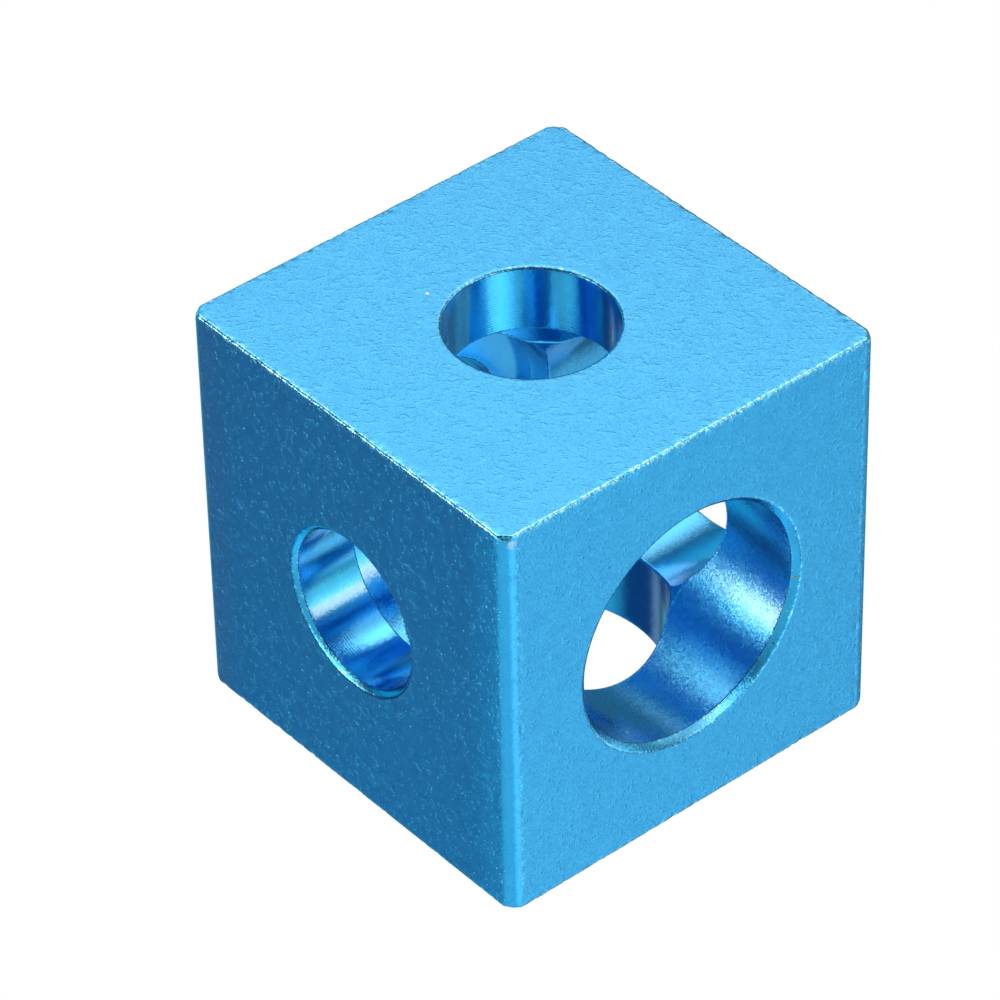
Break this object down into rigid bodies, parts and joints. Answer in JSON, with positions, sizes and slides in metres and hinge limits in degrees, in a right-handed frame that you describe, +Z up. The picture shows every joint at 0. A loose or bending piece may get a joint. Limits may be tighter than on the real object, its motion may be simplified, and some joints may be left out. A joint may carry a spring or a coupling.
{
  "type": "three way corner connector",
  "caption": "Cube-shaped aluminium corner block with stepped bores that cross inside, to screw profile ends together at a corner.",
  "frame": {"origin": "where the axes of the stepped bores cross, in the middle of the cube", "axes": "+X and +Y out of the side access bores, +Z up out of the top mating face; the mating faces are -X, -Y and +Z"},
  "size_m": [0.02, 0.02, 0.02],
  "materials": {
    "anodised_block": "blue anodised over a fine blasted surface"
  },
  "bodies": {
    "root": {"corner_block": "anodised_block"}
  },
  "joints": []
}
